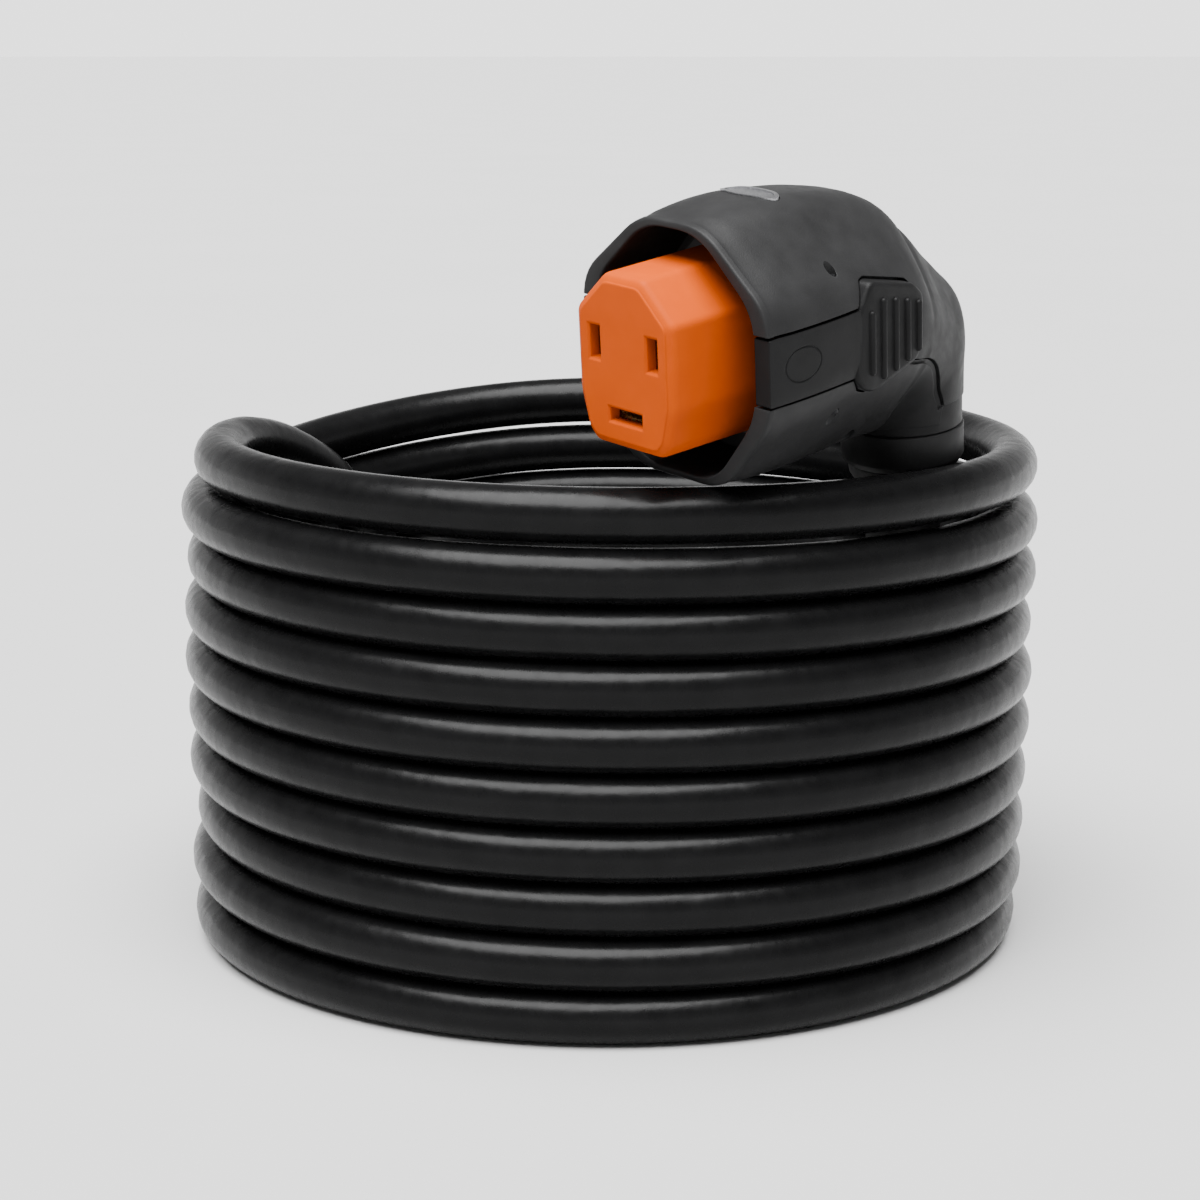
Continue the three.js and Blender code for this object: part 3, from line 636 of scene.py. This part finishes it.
# The thumb pad's pocket and the pad itself, seen from the side.
POCKET = [
    (56.8, -10.5), (60.3, -14.9), (64.8, -16.7), (68.2, -16.5), (87, -11.9), (89.9, -7.7), (90.7, 8.5),
    (86, 13.1), (66.2, 18.1), (63.3, 17.6), (59.1, 10.9),
]
PAD = [
    (57, -10.1), (60.8, -14.4), (65, -16), (68, -15.8), (86.6, -11.3), (89.2, -7.4), (89.9, 8.2),
    (85.6, 12.4), (66, 17.4), (63.8, 17), (59.4, 10.3),
]
SCREWS = [(-18.2, 72), (18.2, 72), (-13.6, 93.5), (13.6, 93.5)]
SCREW_HEAD = -28.0
POST_R, SHANK_HOLE_R, COUNTERBORE_R = 3.8, 1.8, 3.2
BORE_R = 11.0
PIN_REACH, PIN_HOLE_R = 20.8, 1.9
# The lever's slot and, behind it, the pad's pocket: how near the axis each is cut, and where they meet.
SLOT_FLOOR, POCKET_FLOOR = 31.6, 26.3
SLOT_END, POCKET_START = 47.2, 46.9
SLOT_LOW, SLOT_HIGH, SLOT_CORNER = -10.5, 10.9, 0.8
ARM_LOW, ARM_HIGH, ARM_CORNER = -9.8, 10.0, 0.7
SMALL_ARC = 4
STEP_START, STEP_DEPTH = 80, 0.8


def inset(points, depth):
    """A convex outline, given clockwise or not, with every edge moved in by depth."""
    cy, cz = (sum(p[k] for p in points) / len(points) for k in (0, 1))
    lines = []
    for (ay, az), (by, bz) in zip(points, points[1:] + points[:1]):
        ny, nz = bz - az, ay - by
        length = math.hypot(ny, nz)
        ny, nz = ny / length, nz / length
        if ny * (cy - ay) + nz * (cz - az) < 0:
            ny, nz = -ny, -nz
        lines.append((ny, nz, ny * ay + nz * az + depth))
    out = []
    for (a, b, c), (d, e, f) in zip(lines[-1:] + lines[:-1], lines):
        det = a * e - b * d
        out.append(((c * e - b * f) / det, (a * f - c * d) / det))
    return out


def side_prism(name, points, inner, side):
    """A shape swept outwards from this far off the axis, on one side of the connector."""
    return prism(name, points, side * inner, side * FAR)


shell = shell_blank()
slot_outline = [(HOOD_Y - 2, SLOT_LOW), *POCKET, (HOOD_Y - 2, SLOT_HIGH)]
slot_outline = soften(slot_outline, SLOT_CORNER, SMALL_ARC)
tools = [rear_room(), round_rod("bore", BORE_R, -FAR, -18.0, 0.0, NECK_Y, 64)]
tools.append(prism("carrier_hole", carrier_outline(CARRIER_GAP), 40, 60, "y"))
for side in (1, -1):
    slot = side_prism("slot", slot_outline, SLOT_FLOOR, side)
    front = box_mesh("front", (-70, 0, -40), (70, SLOT_END, 40))
    tools.append(combine(slot, [front], "INTERSECT"))
    pocket = side_prism("pocket", slot_outline, POCKET_FLOOR, side)
    rear = box_mesh("rear", (-70, POCKET_START, -40), (70, 120, 40))
    tools.append(combine(pocket, [rear], "INTERSECT"))
    tools.append(round_rod("pin_hole", PIN_HOLE_R, -FAR, FAR, side * PIN_X, PIN_Y))
combine(shell, tools)
for x, y in SCREWS:
    post = combine(round_rod("post", POST_R, -45, 45, x, y), [plain_body("post_room", -0.4)], "INTERSECT")
    combine(shell, [post], "UNION")
    combine(shell, [
        round_rod("shank_hole", SHANK_HOLE_R, -FAR, 14, x, y, 24),
        round_rod("counterbore", COUNTERBORE_R, -FAR, SCREW_HEAD, x, y),
    ])

below = PARTING + [(ARCH[-1][0], NECK_TOP - 6), (10, NECK_TOP - 6)]
above = [(y + SEAM, z + SEAM) for y, z in PARTING]
above += [(160, NECK_TOP + SEAM), (160, NECK_TOP - 30), (10, NECK_TOP - 30)]
lower = copy_of(shell, "lower_housing")
combine(lower, [prism("below", below, -FAR, FAR)], "INTERSECT")
# The lower shell steps down just inside the arch.
step_band = [(y + 0.6, z + 0.6) for y, z in arch] + [(y - 1.7, z - 0.9) for y, z in reversed(arch)]
step_floor = plain_body("step_floor", -STEP_DEPTH, STEP_START)
combine(lower, [combine(prism("step_band", step_band, -FAR, FAR), [step_floor])])
upper = shell
upper.name = "upper_housing"
combine(upper, [prism("above", above, -FAR, FAR)])

# Neck of the lower shell: a sleeve inside the upper shell and the recessed ring under it.
sleeve = lathe("sleeve", [
    (BORE_R, -55.0), (15.2, -55.0), (15.2, -44.8), (RING_R - 0.3, -44.8), (RING_R, -44.5),
    (RING_R, NECK_TOP - 0.4), (RING_R - 0.4, NECK_TOP), (BORE_R, NECK_TOP),
], 0.0, NECK_Y, closed=True)
combine(lower, [sleeve], "UNION")

# ------------------------------------------------------------------ badge
BADGE_Y, BADGE_HALF_X, BADGE_HALF_Y = 52.5, 10.9, 5.5
BADGE_GAP = 0.25
BADGE_ARC = 96
# Heights from the body's skin: the plate's rim, its sunk field and underside, and its seat's floor.
BADGE_RIM, BADGE_FIELD, BADGE_UNDER, BADGE_SEAT = 0.45, -0.1, -0.6, -0.8
FIELD_IN_X, FIELD_IN_Y = 1.5, 1.2


def badge_oval(name, grow_x, grow_y):
    """An upright rod on the badge's outline, grown or shrunk."""
    turns = [2 * math.pi * k / BADGE_ARC for k in range(BADGE_ARC)]
    half_x, half_y = BADGE_HALF_X + grow_x, BADGE_HALF_Y + grow_y
    return skin(name, [
        [(half_x * math.cos(a), BADGE_Y + half_y * math.sin(a), z) for a in turns] for z in (20, FAR)
    ])


def badge_body(name, grow):
    """The stretch of the body under the badge, grown or shrunk."""
    return plain_body(name, grow, 40, 66)


seat = badge_oval("badge_seat", BADGE_GAP, BADGE_GAP)
combine(upper, [combine(seat, [badge_body("badge_floor", BADGE_SEAT)])])
badge = badge_oval("badge_plate", 0.0, 0.0)
combine(badge, [badge_body("badge_top", BADGE_RIM)], "INTERSECT")
combine(badge, [badge_body("badge_under", BADGE_UNDER)])
field = badge_oval("badge_field", -FIELD_IN_X, -FIELD_IN_Y)
combine(badge, [combine(field, [badge_body("badge_field_floor", BADGE_FIELD)])])

# ------------------------------------------------------------------ levers
LEVER_INNER = HOOD_W - SIDE_WALL + 0.3
PAD_INNER = 30.7
PAD_FRONT_X, PAD_FRONT_Y, PAD_SLOPE = 37.5, 59, 0.0857
RIBS = [(64.6, 8.9, -10.7), (69.9, 11.6, -13), (75.7, 10.5, -12), (81.3, 9, -10.3), (86.8, 7.3, -8.6)]
RIB_RADIUS = 1.15
RIB_ROWS, RIB_SIDES = 11, 16
PAD_CORNER, PAD_ARC = 1.6, 6
# The pad's edge from its inner face outwards: how far in from the outline, how deep below the face.
PAD_EDGE = ((0.0, None), (0.0, 1.5), (0.25, 0.75), (0.75, 0.22), (1.5, 0.0))
EYE_INNER, EYE_FRONT, EYE_BACK = 26.9, 50, 58
EYE_LOW, EYE_HIGH = -5.4, 9.6
HOOK_INNER, HOOK_FRONT, HOOK_BACK, HOOK_HALF = 30.2, 25, 30, 5
PIN_BORE_R, SPRING_ROOM_R = 2.0, 3.7
# The oval line on the arm: its centre, its half axes, its thickness and how proud its axis stands.
LINE_Y, LINE_Z = 34, 0.4
LINE_LONG, LINE_TALL = 7.4, 5.0
LINE_R, LINE_PROUD = 0.32, 0.06
LINE_ARC, LINE_SIDES = 96, 8


def body_side(y, z, side):
    """The outer skin's x at a place on the connector's flank."""
    points = [(px, pz) for px, _, pz in body_section(y) if px > 0]
    points.sort(key=lambda q: q[1])
    heights = [q[1] for q in points]
    return side * float(np.interp(z, heights, [q[0] for q in points]))


def pad_face(y):
    """How far out the pad's flat face stands at a place along the connector."""
    return PAD_FRONT_X - PAD_SLOPE * (y - PAD_FRONT_Y)


def rib(side, y, top, bottom):
    """A rounded bar standing up on the pad's face, with a dome at each end."""
    rings = []
    for k in range(RIB_ROWS + 1):
        turn = math.pi * k / RIB_ROWS
        z = (bottom + RIB_RADIUS if k > RIB_ROWS / 2 else top - RIB_RADIUS) + RIB_RADIUS * math.cos(turn)
        r = max(0.05, RIB_RADIUS * math.sin(turn))
        rings.append([
            (side * pad_face(y) + r * math.cos(a), y + r * math.sin(a), z)
            for a in (2 * math.pi * j / RIB_SIDES for j in range(RIB_SIDES))
        ])
    return skin("rib", rings)


def pad_block(side):
    """The thumb pad: a slab with a flat outer face and bevelled edges."""
    rows = []
    for edge, depth in PAD_EDGE:
        ring = soften(inset(PAD, edge), PAD_CORNER, PAD_ARC)
        rows.append([
            (side * (PAD_INNER if depth is None else pad_face(y) - depth), y, z) for y, z in ring
        ])
    return skin("pad", rows)


def lever(side, name):
    """One squeeze lever: arm, thumb pad with ribs, hinge eye and front hook."""
    arm_outline = [(HOOD_Y + 0.4, ARM_LOW), (60.5, ARM_LOW), (60.5, ARM_HIGH), (HOOD_Y + 0.4, ARM_HIGH)]
    arm = side_prism(name, soften(arm_outline, ARM_CORNER, SMALL_ARC), LEVER_INNER, side)
    combine(arm, [plain_body("lever_skin", 0.0, HOOD_Y, 120)], "INTERSECT")
    combine(arm, [pad_block(side)] + [rib(side, *r) for r in RIBS], "UNION")
    low_x, high_x = sorted((side * EYE_INNER, side * (LEVER_INNER + 1)))
    eye = box_mesh("eye", (low_x, EYE_FRONT, EYE_LOW), (high_x, EYE_BACK, EYE_HIGH))
    combine(arm, [eye], "UNION")
    low_x, high_x = sorted((side * HOOK_INNER, side * (LEVER_INNER + 1)))
    hook = box_mesh("hook", (low_x, HOOK_FRONT, -HOOK_HALF), (high_x, HOOK_BACK, HOOK_HALF))
    combine(arm, [hook], "UNION")
    combine(arm, [
        round_rod("pin_bore", PIN_BORE_R, -20, 20, side * PIN_X, PIN_Y),
        round_rod("spring_room", SPRING_ROOM_R, SLOT_LOW, EYE_LOW, side * PIN_X, PIN_Y),
    ])
    # A plain oval line is sunk into the arm.
    ring = []
    for k in range(LINE_ARC):
        a = 2 * math.pi * k / LINE_ARC
        y, z = LINE_Y + LINE_LONG * math.cos(a), LINE_Z + LINE_TALL * math.sin(a)
        x = body_side(y, z, side) + side * LINE_PROUD
        wide_y, wide_z = LINE_R * math.cos(a), LINE_R * math.sin(a)
        ring.append([
            (x + LINE_R * math.sin(b), y + wide_y * math.cos(b), z + wide_z * math.cos(b))
            for b in (2 * math.pi * j / LINE_SIDES for j in range(LINE_SIDES))
        ])
    combine(arm, [skin("oval_line", ring, True)])
    return smooth(arm)


piece(smooth(upper), SHELL, "cord", ["upper_shell"])
piece(smooth(lower), SHELL, "cord", ["lower_shell"])
piece(smooth(badge), SILVER, "cord", ["badge"])
piece(lever(1, "squeeze_lever_right"), LEVER, "right_lever", ["lever_right"])
piece(lever(-1, "squeeze_lever_left"), LEVER, "left_lever", ["lever_left"])

# ------------------------------------------------------------------ screws and pins
for number, (x, y) in enumerate(SCREWS, 1):
    screw = lathe(f"shell_screw_piece_{number}", [
        (0.01, SCREW_HEAD - 2.6), (2.3, SCREW_HEAD - 2.6), (2.8, SCREW_HEAD - 2.1), (2.9, SCREW_HEAD - 0.2),
        (1.5, SCREW_HEAD - 0.2), (1.5, 11.4), (1.0, 12.4), (0.01, 12.4),
    ], x, y, 32)
    for w, h in ((0.45, 1.7), (1.7, 0.45)):
        low, high = (x - w, y - h, -40), (x + w, y + h, SCREW_HEAD - 1.4)
        combine(screw, [box_mesh("driver_recess", low, high)])
    piece(smooth(screw), STEEL, "cord", [f"shell_screw_{number}"])
for side, name in ((1, "right"), (-1, "left")):
    pin = lathe(f"lever_pin_piece_{name}", [
        (0.01, -PIN_REACH), (1.45, -PIN_REACH), (1.75, 0.3 - PIN_REACH), (1.75, PIN_REACH - 0.3),
        (1.45, PIN_REACH), (0.01, PIN_REACH),
    ], side * PIN_X, PIN_Y, 32)
    piece(smooth(pin), BLACK_STEEL, "cord", [f"lever_pin_{name}"])

# ------------------------------------------------------------------ orange contact carrier
# Each slot: its centre's x and z, its half width and half height.
SLOTS = [(-12, 5.4, 2.1, 5.0), (12, 5.4, 2.1, 5.0), (0, -15.3, 6.7, 2.0)]
# The bevel round a slot's mouth: places along the connector and how far it stands out there.
LIP = ((-0.2, 0.9), (0.6, 0.1))
ROOM_MORE = 1.7
BEVEL_STEPS = 5


def core_section(y, grow):
    """The carrier's section at a place along the connector, grown or shrunk."""
    return [(x, y, z) for x, z in carrier_outline(grow)]


# A rounded front edge, a bevel behind it, then sides that widen slowly towards the back.
sections = [core_section(0.0, -3.0), core_section(0.0, -2.55)]
for k in range(BEVEL_STEPS + 1):
    a = math.pi / 2 * k / BEVEL_STEPS
    sections.append(core_section(0.35 * (1 - math.cos(a)) + 0.02, -2.5 + 0.25 * math.sin(a)))
sections += [core_section(y, grow) for y, grow in ((1.0, -0.85), (1.6, -0.42), (2.4, -0.12), (3.2, 0.0))]
sections += [core_section(y, 0.4 * (y - 3) / 55) for y in (8, 16, 24, 32, 40, 48, 58)]
core = skin("contact_face", sections)
flange = prism("flange", carrier_outline(FLANGE_OUT), FLANGE_FRONT, FLANGE_BACK, "y")
combine(core, [flange], "UNION")
for x, z, w, h in SLOTS:
    mouth = box_mesh("mouth", (x - w, -1, z - h), (x + w, 5, z + h))
    room = box_mesh(
        "room", (x - w - ROOM_MORE, 4, z - h - ROOM_MORE), (x + w + ROOM_MORE, FAR, z + h + ROOM_MORE)
    )
    lip_rows = [
        [(x + sx * (w + more), y, z + sz * (h + more)) for sx, sz in ((-1, -1), (1, -1), (1, 1), (-1, 1))]
        for y, more in LIP
    ]
    combine(core, [mouth, room, skin("lip", lip_rows)])
piece(smooth(core, 40), ORANGE, "cord", ["contact_carrier"])

# ------------------------------------------------------------------ collar and strain relief
collar = lathe("swivel_collar", [
    (15.5, -45.1), (19.0, -45.1), (19.35, -45.25), (19.5, -45.6), (19.5, -55.0), (19.2, -55.6),
    (18.4, -57.1), (18.1, -57.2), (12.4, -57.2), (12.4, -55.4), (15.5, -55.4),
], 0.0, NECK_Y, closed=True)
piece(smooth(collar), SHELL, "cord", ["neck_collar"])
boot = lathe("cord_boot", [
    (8.8, -57.5), (17.1, -57.5), (17.4, -57.9), (16.9, -61.2), (16.3, -62.0), (14.4, -65.0),
    (13.6, -67.5), (12.9, -72), (12.2, -80), (11.4, -88), (10.6, -95.2), (10.2, -96.0), (8.8, -96.0),
], 0.0, NECK_Y, closed=True)
piece(smooth(boot), RUBBER, "cord", ["strain_relief"])

# ------------------------------------------------------------------ plug
plug_body = lathe("pedestal_plug", [
    (0.01, 34.0), (14.2, 34.0), (15.0, 34.6), (15.6, 37.0), (17.2, 43.5), (19.5, 52.0), (22.4, 66.0),
    (23.9, 73.0), (24.5, 75.5), (25.0, 79.0), (25.0, 89.0), (24.6, 89.8), (24.2, 90.0), (22.6, 90.0),
    (22.6, 85.0), (0.01, 85.0),
], matrix=PLUG)
piece(smooth(plug_body), SHELL, "cord", ["plug_body"])
plug_boot = lathe("plug_boot", [
    (0.01, 0.0), (9.3, 0.0), (9.8, 0.6), (10.8, 10.0), (12.4, 24.0), (13.4, 29.4), (13.6, 31.0),
    (13.6, 33.2), (13.2, 33.7), (0.01, 33.7),
], segments=64, matrix=PLUG)
piece(smooth(plug_boot), RUBBER, "cord", ["plug_strain_relief"])

# ------------------------------------------------------------------ floor, lights, world
floor_material, tree, bsdf = shader("pale_floor", (0.36, 0.36, 0.36), 0.7, specular=0.2)
floor_tint = tint(tree, noise(tree, 3.0), (0.355, 0.355, 0.355), (0.365, 0.365, 0.365))
tree.links.new(floor_tint, bsdf.inputs["Base Color"])
floor_corners = [(-60, -60, 0), (60, -60, 0), (60, 60, 0), (-60, 60, 0)]
floor = new_object("floor", floor_corners, [(0, 1, 2, 3)])
floor.data.materials.append(floor_material)


def dome(name, direction, strength, degrees):
    """Even light from a wide patch of sky round a direction."""
    light = bpy.data.lights.new(name, "SUN")
    light.energy = strength
    light.angle = math.radians(degrees)
    lamp = bpy.data.objects.new(name, light)
    bpy.context.scene.collection.objects.link(lamp)
    lamp.rotation_euler = (-Vector(direction)).to_track_quat("-Z", "Y").to_euler()


dome("overhead", (-0.1, -0.3, 1.0), 19.0, 60.0)

# A pale studio: bright at the horizon, dimmer overhead.
world = bpy.data.worlds.new("studio")
bpy.context.scene.world = world
world.use_nodes = True
sky = world.node_tree
where = sky.nodes.new("ShaderNodeTexCoord")
split = sky.nodes.new("ShaderNodeSeparateXYZ")
sky.links.new(where.outputs["Generated"], split.inputs["Vector"])
ramp = sky.nodes.new("ShaderNodeValToRGB")
ramp.color_ramp.elements[0].position = 0.03
ramp.color_ramp.elements[0].color = (1.0, 1.0, 1.0, 1.0)
ramp.color_ramp.elements[1].position = 0.45
ramp.color_ramp.elements[1].color = (0.1, 0.1, 0.1, 1.0)
for place, grey in ((0.05, 0.46), (0.22, 0.46)):
    ramp.color_ramp.elements.new(place).color = (grey, grey, grey, 1.0)
sky.links.new(split.outputs["Z"], ramp.inputs["Fac"])
sky.links.new(ramp.outputs["Color"], sky.nodes["Background"].inputs["Color"])
sky.nodes["Background"].inputs["Strength"].default_value = 2.35
